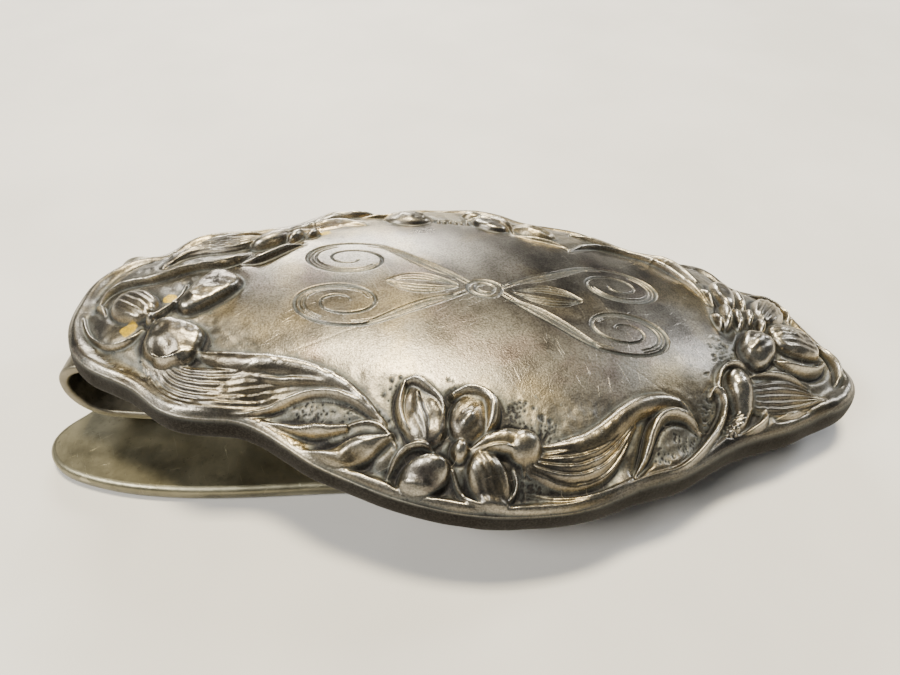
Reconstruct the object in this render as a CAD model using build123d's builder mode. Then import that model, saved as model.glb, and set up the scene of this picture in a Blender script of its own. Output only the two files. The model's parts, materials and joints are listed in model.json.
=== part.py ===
from build123d import *
from math import atan2, cos, degrees, hypot, radians, sin
import os

# Oval belt buckle: a domed, die-struck front shell closed by a back plate, with a strap loop at the
# left end and a long clamp tongue hinged under the right end.
# Row frame in mm: Z = 0 is the table the tongue lies on, X runs along the buckle, +Y is the far side.

# ---- driving dimensions ----
SHELL_TILT = 6.07          # the shell leans up towards the strap loop, degrees
SHELL_HEIGHT = 8.7         # centre of the rim crest above the table
SHEET = 0.45               # thickness of the struck sheet
DOME_RISE = 5.0            # top of the plain field above the rim crest
FIELD_HALF_LENGTH = 21.5   # plain oval field in the middle of the front
FIELD_HALF_WIDTH = 9.6
RIM_DEPTH = 2.0            # rim crest down to the thin edge of the sheet
PLATE_THICK = 0.6
TONGUE_THICK = 1.5
HINGE_X = 29.5
BARREL_R = 1.4             # outside of the rolled barrel on the tongue
PIN_R = 0.6
BORE_R = 0.64              # running clearance of 0.04 around the pin
BARREL_HALF = 3.5          # half length of the barrel
EAR_IN = 3.6               # inside and outside faces of the hinge ears
EAR_OUT = 4.2
BRACKET_THICK = 0.4
SPRING_THICK = 0.28
LOOP_HALF = 7.25           # half width of the strap loop
LOOP_THICK = 0.9
RIVET_R = 0.5
HEAD_R = 0.8
SPRING_GRIP = BRACKET_THICK + SPRING_THICK

os.makedirs("parts", exist_ok=True)

SHELL = Plane(
    origin=(0, 0, SHELL_HEIGHT),
    x_dir=(cos(radians(SHELL_TILT)), 0, -sin(radians(SHELL_TILT))),
    z_dir=(sin(radians(SHELL_TILT)), 0, cos(radians(SHELL_TILT))),
)


def on_shell(x=0.0, y=0.0, z=0.0, turn=0.0, stand=0.0):
    """A plane at a point of the tilted shell frame, turned about its normal, then stood up by `stand`."""
    return Plane(SHELL.location * Pos(x, y, z) * Rot(0, 0, turn) * Rot(stand, 0, 0))


# Crest line of the scalloped rim in the shell frame, from the left tip round the near side.
CREST = [
    (-34.4, -1.8), (-33.8, -5.4), (-31.7, -8.3), (-28.4, -9.8), (-26.4, -10.7), (-24.4, -12.0),
    (-21.5, -12.6), (-18.6, -12.5), (-15.4, -13.6), (-12.2, -15.4), (-9.6, -16.4), (-6.6, -17.4),
    (-2.8, -18.2), (1.6, -18.4), (6.0, -17.8), (9.6, -16.7), (12.8, -14.9), (16.2, -13.5),
    (19.2, -11.5), (22.4, -9.6), (26.6, -7.9), (29.8, -6.1), (32.9, -4.2), (34.3, -1.7),
    (33.9, 0.6), (32.9, 3.0), (31.6, 5.8), (30.2, 8.1), (28.0, 9.0), (26.3, 9.5),
    (25.2, 10.7), (23.7, 12.1), (21.2, 12.4), (18.0, 12.6), (14.7, 13.8), (12.2, 15.4),
    (9.6, 16.2), (6.6, 16.4), (4.4, 16.7), (2.2, 17.5), (-1.4, 17.7), (-5.6, 17.2),
    (-9.4, 15.9), (-11.8, 14.8), (-14.6, 14.7), (-17.0, 13.4), (-19.8, 11.2), (-23.4, 9.6),
    (-26.6, 8.8), (-28.3, 7.1), (-29.6, 5.5), (-31.7, 4.4), (-33.5, 2.2),
]


def ring(outward=0.0, shrink=1.0, to_oval=0.0, oval=1.0):
    """The crest line moved outward, drawn in towards the centre, and blended to the field's oval."""
    points = []
    for i, (x, y) in enumerate(CREST):
        x0, y0 = CREST[i - 1]
        x1, y1 = CREST[(i + 1) % len(CREST)]
        run = hypot(x1 - x0, y1 - y0)
        px = (x + outward * (y1 - y0) / run) * shrink
        py = (y - outward * (x1 - x0) / run) * shrink
        angle = atan2(y / FIELD_HALF_WIDTH, x / FIELD_HALF_LENGTH)
        ox = FIELD_HALF_LENGTH * oval * cos(angle)
        oy = FIELD_HALF_WIDTH * oval * sin(angle)
        points.append((px + (ox - px) * to_oval, py + (oy - py) * to_oval))
    return points


# Levels of the border between the thin lower edge and the plain field, outside and inside the sheet.
OUTER = [
    (-RIM_DEPTH, dict(outward=0.3)),
    (-1.5, dict(outward=0.52)),
    (-0.9, dict(outward=0.62)),
    (-0.4, dict(outward=0.5)),
    (-0.1, dict(outward=0.24)),
    (0.0, dict(outward=-0.05)),
    (-0.12, dict(outward=-0.4)),
    (-0.35, dict(outward=-0.8)),
    (-0.2, dict(outward=-1.5)),
    (0.6, dict(outward=-0.4, shrink=0.88, to_oval=0.1, oval=1.4)),
    (1.6, dict(shrink=0.8, to_oval=0.35, oval=1.25)),
    (2.7, dict(shrink=0.7, to_oval=0.75, oval=1.12)),
    (3.45, dict(to_oval=1.0)),
]
INNER = [
    (-RIM_DEPTH - 0.4, dict(outward=-0.15)),
    (-1.5, dict(outward=0.06)),
    (-0.9, dict(outward=0.16)),
    (-0.55, dict(outward=-0.1)),
    (-0.85, dict(outward=-0.8)),
    (-0.7, dict(outward=-1.6)),
    (0.15, dict(outward=-0.7, shrink=0.88, to_oval=0.1, oval=1.4)),
    (1.1, dict(outward=-0.4, shrink=0.8, to_oval=0.35, oval=1.22)),
    (2.2, dict(outward=-0.3, shrink=0.7, to_oval=0.75, oval=1.1)),
    (3.0, dict(to_oval=1.0, oval=0.985)),
]
# Levels of the plain field: height of the outside and the share of the oval's size.
FIELD = [(3.35, 1.015), (4.25, 0.74), (4.8, 0.44), (DOME_RISE, 0.1)]

# Raised petals and buds: centre, heading of the long axis, half length and half width.
PETALS = [
    (-4.9, -12.1, 1.9, 112, 2.1, 1.25), (-0.7, -11.9, 2.0, 72, 2.1, 1.3), (2.4, -13.9, 1.3, 12, 2.2, 1.1),
    (0.6, -15.9, 0.4, -50, 2.0, 1.3), (-3.9, -15.6, 0.5, 215, 1.9, 1.2), (-8.6, -14.0, 0.8, 8, 2.4, 0.9),
    (-23.0, -1.8, 1.6, 55, 2.4, 1.6), (-24.3, -6.6, 1.0, -35, 2.4, 1.6), (-28.4, -3.2, 0.3, 170, 2.3, 1.5),
    (22.9, 2.2, 1.7, 75, 1.7, 1.1), (24.1, -1.8, 1.5, -60, 1.8, 1.3), (28.2, 0.2, 0.5, 10, 2.3, 1.5),
    (26.8, 4.7, 0.5, 60, 2.2, 1.4), (21.3, -6.7, 1.0, 80, 2.6, 1.0),
    (-7.0, 12.2, 1.6, 80, 2.2, 1.4), (0.4, 12.8, 1.6, 105, 2.2, 1.3), (4.9, 12.0, 1.7, 60, 2.2, 1.4),
]

with BuildPart() as front_shell:
    for height, shape in OUTER:
        with BuildSketch(on_shell(z=height)):
            with BuildLine():
                Spline(*ring(**shape), periodic=True)
            make_face()
    loft(ruled=True)
    for height, share in FIELD:
        with BuildSketch(on_shell(z=height)):
            Ellipse(FIELD_HALF_LENGTH * share, FIELD_HALF_WIDTH * share)
    loft()
    for cx, cy, cz, heading, half_length, half_width in PETALS:
        lie = on_shell(cx, cy, cz, heading)
        with BuildSketch(lie):
            Ellipse(half_length, half_width)
            Rectangle(6, 3, align=(Align.CENTER, Align.MAX), mode=Mode.SUBTRACT)
        revolve(axis=Axis(lie.origin, lie.x_dir))
    # flower centres
    for cx, cy, cz in ((-1.8, -14.2, 1.6), (-26.4, -4.4, 1.2), (25.2, 1.2, 1.6)):
        bead = on_shell(cx, cy, cz, stand=90)
        with BuildSketch(bead):
            Circle(0.6)
            Rectangle(2, 2, align=(Align.MAX, Align.CENTER), mode=Mode.SUBTRACT)
        revolve(axis=Axis(bead.origin, bead.y_dir))
    # the sheet is hollow underneath
    for height, shape in INNER:
        with BuildSketch(on_shell(z=height)):
            with BuildLine():
                Spline(*ring(**shape), periodic=True)
            make_face()
    loft(ruled=True, mode=Mode.SUBTRACT)
    for height, share in FIELD:
        with BuildSketch(on_shell(z=height - SHEET)):
            Ellipse(FIELD_HALF_LENGTH * share - 0.2, FIELD_HALF_WIDTH * share - 0.2)
    loft(mode=Mode.SUBTRACT)
front_shell.part.label = "front_shell"
export_step(front_shell.part, "parts/front_shell.step")

# ---- back plate, flush with the thin edge of the shell ----
LOOP_RIVETS = [(-19.0, -4.2), (-19.0, 4.2), (-27.6, -4.2), (-27.6, 4.2)]
BRACKET_RIVETS = [(18.6, -3.0), (18.6, 3.0), (24.4, -3.0), (24.4, 3.0)]
SPRING_RIVET = [(21.3, 0.0)]

with BuildPart() as back_plate:
    with BuildSketch(on_shell(z=-RIM_DEPTH)):
        with BuildLine():
            Spline(*ring(outward=-0.12), periodic=True)
        make_face()
    extrude(amount=PLATE_THICK)
    with BuildSketch(on_shell(z=-RIM_DEPTH)):
        with Locations(*LOOP_RIVETS, *BRACKET_RIVETS, *SPRING_RIVET):
            Circle(RIVET_R)
    extrude(amount=PLATE_THICK, mode=Mode.SUBTRACT)
back_plate.part.label = "back_plate"
export_step(back_plate.part, "parts/back_plate.step")

# ---- strap loop: one wide strip bent round, with both ends flat on the back plate ----
with BuildPart() as belt_loop:
    with BuildSketch(on_shell(stand=90)):
        with BuildLine():
            top = Line((-24.6, -RIM_DEPTH - 0.5 * LOOP_THICK), (-33.3, -RIM_DEPTH - 0.5 * LOOP_THICK))
            corner = JernArc(top @ 1, top % 1, 1.25, 90)
            side = Line(corner @ 1, corner @ 1 + 1.5 * (corner % 1))
            heel = JernArc(side @ 1, side % 1, 3.25, 93)
            floor = Line(heel @ 1, heel @ 1 + 4.2 * (heel % 1))
            rise_bend = JernArc(floor @ 1, floor % 1, 1.0, 50)
            climb = -RIM_DEPTH - 0.5 * LOOP_THICK - (rise_bend @ 1).Y - 1.0 + cos(radians(53))
            rise = Line(rise_bend @ 1, rise_bend @ 1 + climb / sin(radians(53)) * (rise_bend % 1))
            foot_bend = JernArc(rise @ 1, rise % 1, 1.0, -53)
            Line(foot_bend @ 1, (-17.0, (foot_bend @ 1).Y))
        trace(line_width=LOOP_THICK)
    extrude(amount=LOOP_HALF, both=True)
    with BuildSketch(on_shell(z=-RIM_DEPTH)):
        with Locations(*LOOP_RIVETS):
            Circle(RIVET_R)
    extrude(amount=-1.2 * LOOP_THICK, mode=Mode.SUBTRACT)
belt_loop.part.label = "belt_loop"
export_step(belt_loop.part, "parts/belt_loop.step")

# ---- hinge bracket: a base riveted to the plate and two ears that hold the pin ----
AXIS_X = HINGE_X * cos(radians(SHELL_TILT)) + (SHELL_HEIGHT - BARREL_R) * sin(radians(SHELL_TILT))
AXIS_Z = HINGE_X * sin(radians(SHELL_TILT)) - (SHELL_HEIGHT - BARREL_R) * cos(radians(SHELL_TILT))

with BuildPart() as hinge_bracket:
    with BuildSketch(on_shell(24.2, 0, -RIM_DEPTH)):
        RectangleRounded(14.4, 2 * EAR_OUT, 0.6)
    extrude(amount=-BRACKET_THICK)
    for inside, outside in ((EAR_IN, EAR_OUT), (-EAR_OUT, -EAR_IN)):
        with BuildSketch(on_shell(y=inside, stand=90)):
            with BuildLine():
                Polyline(
                    (27.4, -RIM_DEPTH - 0.1),
                    (31.4, -RIM_DEPTH - 0.1),
                    (AXIS_X + 1.29, AXIS_Z),
                    (AXIS_X - 1.29, AXIS_Z),
                    close=True,
                )
            make_face()
            with Locations((AXIS_X, AXIS_Z)):
                Circle(1.32)
                Circle(PIN_R, mode=Mode.SUBTRACT)
        extrude(amount=inside - outside)
    with BuildSketch(on_shell(z=-RIM_DEPTH)):
        with Locations(*BRACKET_RIVETS, *SPRING_RIVET):
            Circle(RIVET_R)
    extrude(amount=-BRACKET_THICK, mode=Mode.SUBTRACT)
hinge_bracket.part.label = "hinge_bracket"
export_step(hinge_bracket.part, "parts/hinge_bracket.step")

# ---- leaf that rubs on the top of the barrel and holds the tongue where it is left ----
with BuildPart() as friction_spring:
    with BuildSketch(on_shell(25.2, 0, -RIM_DEPTH - BRACKET_THICK)):
        RectangleRounded(11.4, 3.8, 0.8)
    extrude(amount=-SPRING_THICK)
    with BuildSketch(on_shell(z=-RIM_DEPTH - BRACKET_THICK)):
        with Locations(*SPRING_RIVET):
            Circle(RIVET_R)
    extrude(amount=-SPRING_THICK, mode=Mode.SUBTRACT)
friction_spring.part.label = "friction_spring"
export_step(friction_spring.part, "parts/friction_spring.step")

# ---- rivets: a rounded head outside, a shank, and a flat head inside the shell ----
SHELL_UP = Axis(SHELL.origin, SHELL.z_dir)

with BuildPart() as loop_rivets:
    with BuildSketch(on_shell(z=-RIM_DEPTH - LOOP_THICK)):
        with Locations(*LOOP_RIVETS):
            Circle(RIVET_R)
    extrude(amount=LOOP_THICK + PLATE_THICK)
    with BuildSketch(on_shell(z=-RIM_DEPTH + PLATE_THICK)):
        with Locations(*LOOP_RIVETS):
            Circle(HEAD_R)
    extrude(amount=0.3)
    with BuildSketch(on_shell(z=-RIM_DEPTH - LOOP_THICK)):
        with Locations(*LOOP_RIVETS):
            Circle(HEAD_R)
    extrude(amount=-0.42)
    fillet(loop_rivets.faces().sort_by(SHELL_UP)[: len(LOOP_RIVETS)].edges(), 0.3)
loop_rivets.part.label = "loop_rivets"
export_step(loop_rivets.part, "parts/loop_rivets.step")

with BuildPart() as bracket_rivets:
    with BuildSketch(on_shell(z=-RIM_DEPTH - BRACKET_THICK)):
        with Locations(*BRACKET_RIVETS):
            Circle(RIVET_R)
    extrude(amount=BRACKET_THICK + PLATE_THICK)
    with BuildSketch(on_shell(z=-RIM_DEPTH + PLATE_THICK)):
        with Locations(*BRACKET_RIVETS):
            Circle(HEAD_R)
    extrude(amount=0.3)
    with BuildSketch(on_shell(z=-RIM_DEPTH - BRACKET_THICK)):
        with Locations(*BRACKET_RIVETS):
            Circle(HEAD_R)
    extrude(amount=-0.42)
    fillet(bracket_rivets.faces().sort_by(SHELL_UP)[: len(BRACKET_RIVETS)].edges(), 0.3)
bracket_rivets.part.label = "bracket_rivets"
export_step(bracket_rivets.part, "parts/bracket_rivets.step")

with BuildPart() as spring_rivet:
    with BuildSketch(on_shell(z=-RIM_DEPTH - SPRING_GRIP)):
        with Locations(*SPRING_RIVET):
            Circle(RIVET_R)
    extrude(amount=SPRING_GRIP + PLATE_THICK)
    with BuildSketch(on_shell(z=-RIM_DEPTH + PLATE_THICK)):
        with Locations(*SPRING_RIVET):
            Circle(HEAD_R)
    extrude(amount=0.3)
    with BuildSketch(on_shell(z=-RIM_DEPTH - SPRING_GRIP)):
        with Locations(*SPRING_RIVET):
            Circle(HEAD_R)
    extrude(amount=-0.42)
    fillet(spring_rivet.faces().sort_by(SHELL_UP)[: len(SPRING_RIVET)].edges(), 0.3)
spring_rivet.part.label = "spring_rivet"
export_step(spring_rivet.part, "parts/spring_rivet.step")

# ---- hinge pin with a peened head beyond each ear ----
PIN_MIDDLE = Plane(origin=(HINGE_X, 0, BARREL_R), x_dir=(1, 0, 0), z_dir=(0, -1, 0))

with BuildPart() as hinge_pin:
    with BuildSketch(PIN_MIDDLE):
        Circle(PIN_R)
    extrude(amount=EAR_OUT, both=True)
    for side_of in (-1, 1):
        with BuildSketch(PIN_MIDDLE.offset(side_of * EAR_OUT)):
            Circle(0.9)
        extrude(amount=side_of * 0.3)
        fillet(hinge_pin.faces().sort_by(Axis.Y)[0 if side_of > 0 else -1].edges(), 0.22)
hinge_pin.part.label = "hinge_pin"
export_step(hinge_pin.part, "parts/hinge_pin.step")

# ---- clamp tongue: a wide flat plate, two-lobed at its free end, rolled into a barrel at the hinge ----
TONGUE_SIDE = [
    (25.8, -BARREL_HALF), (22.8, -5.2), (17.5, -8.6), (8.0, -11.0), (-12.2, -12.45), (-27.4, -13.4),
    (-34.2, -12.4), (-37.3, -10.8), (-38.3, -8.7), (-37.7, -6.9), (-36.6, -5.6), (-34.9, -3.0), (-34.2, 0.0),
]

with BuildPart() as tongue_plate:
    with BuildSketch():
        with BuildLine():
            far_side = [(x, -y) for x, y in reversed(TONGUE_SIDE[:-1])]
            Spline(*TONGUE_SIDE, *far_side)
            Polyline(TONGUE_SIDE[0], (HINGE_X, -BARREL_HALF), (HINGE_X, BARREL_HALF), far_side[-1])
        make_face()
    extrude(amount=TONGUE_THICK)
    fillet(tongue_plate.edges().sort_by(SortBy.LENGTH)[-2:], 0.55)
    with BuildSketch(PIN_MIDDLE):
        Circle(BARREL_R)
    extrude(amount=BARREL_HALF, both=True)
    with BuildSketch(PIN_MIDDLE):
        Circle(BORE_R)
    extrude(amount=BARREL_HALF, both=True, mode=Mode.SUBTRACT)
tongue_plate.part.label = "tongue_plate"
export_step(tongue_plate.part, "parts/tongue_plate.step")
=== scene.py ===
import json
import math

import bpy
import numpy as np
from mathutils import Euler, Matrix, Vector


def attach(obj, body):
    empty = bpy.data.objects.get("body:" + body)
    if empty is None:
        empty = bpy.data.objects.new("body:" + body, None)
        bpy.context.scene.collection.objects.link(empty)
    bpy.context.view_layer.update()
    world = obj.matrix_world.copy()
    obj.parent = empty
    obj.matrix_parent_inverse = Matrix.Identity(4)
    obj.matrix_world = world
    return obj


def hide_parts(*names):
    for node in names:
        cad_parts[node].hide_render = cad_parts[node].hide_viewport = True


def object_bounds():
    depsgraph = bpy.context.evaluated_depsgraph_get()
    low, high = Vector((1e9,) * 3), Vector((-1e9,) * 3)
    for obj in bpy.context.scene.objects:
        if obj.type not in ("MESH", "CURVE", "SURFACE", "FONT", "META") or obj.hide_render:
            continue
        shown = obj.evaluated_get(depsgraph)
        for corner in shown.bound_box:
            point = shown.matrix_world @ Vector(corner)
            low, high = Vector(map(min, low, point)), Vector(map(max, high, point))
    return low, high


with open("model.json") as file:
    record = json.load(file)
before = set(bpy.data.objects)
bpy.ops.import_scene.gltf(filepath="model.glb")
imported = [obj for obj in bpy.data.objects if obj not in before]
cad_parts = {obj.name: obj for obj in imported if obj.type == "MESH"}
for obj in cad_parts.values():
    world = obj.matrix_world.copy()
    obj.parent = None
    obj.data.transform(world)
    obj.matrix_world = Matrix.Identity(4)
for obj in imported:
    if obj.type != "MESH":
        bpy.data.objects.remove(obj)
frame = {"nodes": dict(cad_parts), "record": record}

CAD_LOW, CAD_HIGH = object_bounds()
MM = 0.001

# The relief is drawn in the shell's own frame, in mm: x along the buckle, y to the far side,
# z above the crest of the rim. The shell leans over the flat tongue, so that frame is tilted.
EDGE_LEVEL = -2.0          # thin lower edge of the shell, flush with the back plate's underside
HALF_LENGTH = 34.4
HALF_WIDTH = 18.0
FIELD_HALF_LENGTH = 21.0
FIELD_HALF_WIDTH = 9.4
DOME_RISE = 5.0
DOME_POWER = 0.9           # below 1: the dome is flatter on top and steeper at its foot
SHEET = 0.45
GUTTER_DEPTH = 1.25        # shallow gutter inside the rim
BEAD_HEIGHT = 1.28         # rolled rim above the gutter
FLOWERS = ((-1.4, -14.4, 3.2), (-26.0, -4.6, 3.0), (25.6, -0.4, 3.6))  # x, y, spread of the swellings
PUNCH_REACH = 0.32         # width of the sunk line beside a form
CUT_EDGE = 0.16            # how narrow the drop at a form's own edge is
CLEARANCE = 0.8            # how far beyond a form the grid is touched
MAT_REACH = 2.0            # matted ground spreads this much further than its pits
ENGRAVED_WIDTH, ENGRAVED_DEPTH = 1.2, 1.35  # scale of every engraved line
SCROLL_X, SCROLL_Y = 11.8, 2.7              # eye of each spiral
SCROLL_WIDE, SCROLL_HIGH = 1.45, 0.82       # its stretch along and across the buckle
FAR_FROM_RIM = 9.0
LOOP_HALF_WIDTH, LOOP_HALF_THICK, LOOP_ROUND_EDGE = 7.25, 0.45, 0.3
LOOP_START = -22.9         # inner end of the strip under the plate
GRID_CROWDING = 1.12       # above 1: the grid is finer towards the rim
COLUMNS, ROWS = ((940, 500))


def shell_frame():
    """The shell's up direction and the height of its frame, read from the flat back plate."""
    mesh = frame["nodes"]["back_plate"].data
    up = np.array(max(mesh.polygons, key=lambda face: face.area).normal)
    up = up if up[2] > 0 else -up
    points = np.array([v.co for v in mesh.vertices])
    height = ((points @ up).min() - EDGE_LEVEL * MM) / up[2]
    return up[0], up[2], height


SIN_TILT, COS_TILT, SHELL_HEIGHT = shell_frame()


def to_row(x, y, z):
    """Points of the shell frame in mm, as rows of the part's frame in metres."""
    across = (x * COS_TILT + z * SIN_TILT) * MM
    upward = (z * COS_TILT - x * SIN_TILT) * MM + SHELL_HEIGHT
    return np.stack([across, y * MM, upward], -1)


def curve(points, count, closed=False):
    """`count` evenly spaced points on the smooth cubic spline through `points`."""
    p = np.array(points, float)
    n = len(p)
    follow = np.roll(p, -1, 0) if closed else p[1:]
    span = np.hypot(*(follow - p[: len(follow)]).T)
    bend = np.zeros((n, n))
    pull = np.zeros((n, 2))
    for i in range(n):
        if not closed and i in (0, n - 1):  # free ends do not bend
            bend[i, i] = 1
            continue
        j = (i + 1) % n
        bend[i, i - 1] += span[i - 1]
        bend[i, i] += 2 * (span[i - 1] + span[i])
        bend[i, j] += span[i]
        pull[i] = 6 * ((p[j] - p[i]) / span[i] - (p[i] - p[i - 1]) / span[i - 1])
    second = np.linalg.solve(bend, pull)
    pieces = []
    for i in range(len(span)):
        j = (i + 1) % n
        t = np.linspace(0, 1, 24, endpoint=False)[:, None]
        s = 1 - t
        bow = ((s**3 - s) * second[i] + (t**3 - t) * second[j]) * span[i] ** 2 / 6
        pieces.append(s * p[i] + t * p[j] + bow)
    fine = np.concatenate(pieces + [p[:1] if closed else p[-1:]])
    length = np.concatenate([[0], np.cumsum(np.hypot(*np.diff(fine, axis=0).T))])
    at = np.linspace(0, length[-1], count, endpoint=not closed)
    return np.stack([np.interp(at, length, fine[:, k]) for k in (0, 1)], -1)


def smooth(low, high, value):
    """0 below low, 1 above high, with a soft turn between."""
    t = np.clip((value - low) / (high - low), 0, 1)
    return t * t * (3 - 2 * t)


def noise(x, y, size, seed):
    """Smooth repeatable noise from -1 to 1, with lumps about `size` across."""
    grid = np.random.default_rng(seed).uniform(-1, 1, (97, 97))
    u, v = x / size + 40.3, y / size + 40.7
    i, j = np.floor(u).astype(int), np.floor(v).astype(int)
    fu, fv = u - i, v - j
    fu, fv = fu * fu * (3 - 2 * fu), fv * fv * (3 - 2 * fv)
    i, j = i % 96, j % 96
    low = grid[i, j] * (1 - fu) + grid[i + 1, j] * fu
    high = grid[i, j + 1] * (1 - fu) + grid[i + 1, j + 1] * fu
    return low * (1 - fv) + high * fv


# ---- the scalloped outline and the grid that fills it ----
# Crest line of the rim, from the left tip round the near side.
CREST = [
    (-34.4, -1.8), (-33.8, -5.4), (-31.7, -8.3), (-28.4, -9.8), (-26.4, -10.7), (-24.4, -12.0),
    (-21.5, -12.6), (-18.6, -12.5), (-15.4, -13.6), (-12.2, -15.4), (-9.6, -16.4), (-6.6, -17.4),
    (-2.8, -18.2), (1.6, -18.4), (6.0, -17.8), (9.6, -16.7), (12.8, -14.9), (16.2, -13.5),
    (19.2, -11.5), (22.4, -9.6), (26.6, -7.9), (29.8, -6.1), (32.9, -4.2), (34.3, -1.7),
    (33.9, 0.6), (32.9, 3.0), (31.6, 5.8), (30.2, 8.1), (28.0, 9.0), (26.3, 9.5),
    (25.2, 10.7), (23.7, 12.1), (21.2, 12.4), (18.0, 12.6), (14.7, 13.8), (12.2, 15.4),
    (9.6, 16.2), (6.6, 16.4), (4.4, 16.7), (2.2, 17.5), (-1.4, 17.7), (-5.6, 17.2),
    (-9.4, 15.9), (-11.8, 14.8), (-14.6, 14.7), (-17.0, 13.4), (-19.8, 11.2), (-23.4, 9.6),
    (-26.6, 8.8), (-28.3, 7.1), (-29.6, 5.5), (-31.7, 4.4), (-33.5, 2.2),
]
crest_line = curve(CREST, 3600, closed=True)
crest_angle = np.arctan2(crest_line[:, 1] / HALF_WIDTH, crest_line[:, 0] / HALF_LENGTH)
crest_reach = np.hypot(crest_line[:, 1] / HALF_WIDTH, crest_line[:, 0] / HALF_LENGTH)
turn_order = np.argsort(crest_angle)


def reach(angle):
    """Distance to the crest in each direction, as a share of the plain ellipse's radius."""
    return np.interp(angle, crest_angle[turn_order], crest_reach[turn_order], period=2 * math.pi)


def disc_grid():
    """A square grid folded onto the outline: its outer edge is the crest line, and k is 1 there."""
    a, b = np.meshgrid(np.linspace(-1, 1, COLUMNS + 1), np.linspace(-1, 1, ROWS + 1))
    wide = np.abs(a) >= np.abs(b)
    safe_a = np.where(np.abs(a) < 1e-9, 1e-9, a)
    safe_b = np.where(np.abs(b) < 1e-9, 1e-9, b)
    sideways = math.pi / 4 * b / safe_a + np.where(a < 0, math.pi, 0)
    upright = math.pi / 2 - math.pi / 4 * a / safe_b + np.where(b < 0, math.pi, 0)
    angle = np.where(wide, sideways, upright)
    k = 1 - (1 - np.maximum(np.abs(a), np.abs(b))) ** GRID_CROWDING
    radius = k * (1 + (reach(angle) - 1) * smooth(0.35, 1.0, k))
    return radius * HALF_LENGTH * np.cos(angle), radius * HALF_WIDTH * np.sin(angle), k


X, Y, K = disc_grid()


def nearest(path, x, y):
    """Signed distance to the left of a path of points, and the share of its length, for each point."""
    start, step = path[:-1], np.diff(path, axis=0)
    length = (step**2).sum(1)
    away = np.empty(len(x))
    along = np.empty(len(x))
    block = max(1, 3_000_000 // len(start))
    for i in range(0, len(x), block):
        dx = x[i : i + block, None] - start[:, 0]
        dy = y[i : i + block, None] - start[:, 1]
        t = np.clip((dx * step[:, 0] + dy * step[:, 1]) / length, 0, 1)
        gap = (dx - t * step[:, 0]) ** 2 + (dy - t * step[:, 1]) ** 2
        best = gap.argmin(1)
        row = np.arange(len(best))
        side = step[best, 0] * dy[row, best] - step[best, 1] * dx[row, best]
        away[i : i + block] = np.sqrt(gap[row, best]) * np.where(side < 0, -1, 1)
        along[i : i + block] = (best + t[row, best]) / len(start)
    return away, along


def rim_distance():
    """Distance in from the crest line, as far as it matters for the rim."""
    gap = np.full(X.shape, FAR_FROM_RIM)
    close = K > 0.72
    path = np.vstack([crest_line[::6], crest_line[:1]])
    gap[close] = np.abs(nearest(path, X[close], Y[close])[0])
    return gap


RIM_GAP = rim_distance()
# The dome, a shallow gutter inside the rim, the rolled rim itself and a fine thread beside it.
ground = DOME_RISE * np.clip(1 - K**2, 0, 1) ** DOME_POWER
broad = smooth(7, 15, X) * smooth(1, -3, Y) + 0.6 * smooth(-10, -20, X) * smooth(4, 9, Y)
broad += 0.55 * smooth(-10, -19, X) * smooth(2, -5, Y)
sway = noise(X, Y, 3.4, 5)
gutter = GUTTER_DEPTH - 0.35 * broad + 0.2 * sway
ground -= gutter * np.exp(-((RIM_GAP / (1.45 + 0.5 * broad)) ** 2))
crest_gap = 0.15 + 0.12 * smooth(-3, -9, Y) * smooth(12, 7, X) * smooth(-14, -8, X)
thick = 0.85 - crest_gap + 0.5 * broad + 0.18 * sway
ground += BEAD_HEIGHT * np.exp(-np.abs((RIM_GAP - crest_gap) / thick) ** 2.3)
at_edge = np.exp(-((RIM_GAP / (0.15 + 0.7 * crest_gap)) ** 2))
ground -= (ground[0, 0] + 0.6 * (crest_gap - 0.15)) * at_edge
thread = np.exp(-(((RIM_GAP - 1.9 - 0.6 * sway) / 0.3) ** 2))
ground += 0.08 * thread * smooth(0.1, 0.6, noise(X, Y, 6.5, 6))
for flower_x, flower_y, spread in FLOWERS:
    swelling = np.exp(-((X - flower_x) ** 2 + (Y - flower_y) ** 2) / spread**2)
    ground += 0.4 * swelling * smooth(1.2, 2.4, RIM_GAP)
oval = np.hypot(X / FIELD_HALF_LENGTH, Y / FIELD_HALF_WIDTH)
border = smooth(0.98, 1.2, oval + 0.06 * noise(X, Y, 4, 1))
ground += border * (0.05 * noise(X, Y, 0.9, 2) + 0.03 * noise(X, Y, 0.4, 3)) * smooth(0.3, 1.2, RIM_GAP)
ground += 0.018 * noise(X, Y, 4.5, 4)
at_rim = np.exp(-((RIM_GAP / 1.5) ** 2)) * smooth(0.0, 0.3, RIM_GAP)
ground += at_rim * (0.045 * noise(X, Y, 1.5, 9) + 0.018 * noise(X, Y, 0.5, 10))
# What the tools below draw: raised forms, overlays on them, sunk lines, pits, matted ground,
# engraved lines and traces of gilding.
raised = np.full(X.shape, -9.0)
extra, moat, punched, matted, engraved, gild = (np.zeros(X.shape) for _ in range(6))


# ---- tools of the relief ----
# Cross-sections of a stroke, from u = -1 at its right edge to 1 at its left edge.
def rounded(u):
    return (1 - u * u) ** 0.75


def plateau(u):
    return (1 - u**4) ** 0.8


def soft(u):
    return (1 - u * u) ** 2


def lip_left(u):
    return (0.5 + 0.5 * u) ** 1.3 * np.clip((1 - u) / 0.22, 0, 1) ** 0.5


def lip_right(u):
    return lip_left(-u)


def around(low, high, margin):
    """The grid points in a box."""
    return (X > low[0] - margin) & (X < high[0] + margin) & (Y > low[1] - margin) & (Y < high[1] + margin)


def lay(inside, height, over):
    """Puts a raised form on the ground, or on top of what is there."""
    if over:
        extra[inside] = np.maximum(extra[inside], height)
    else:
        raised[inside] = np.maximum(raised[inside], ground[inside] + height)


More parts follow.
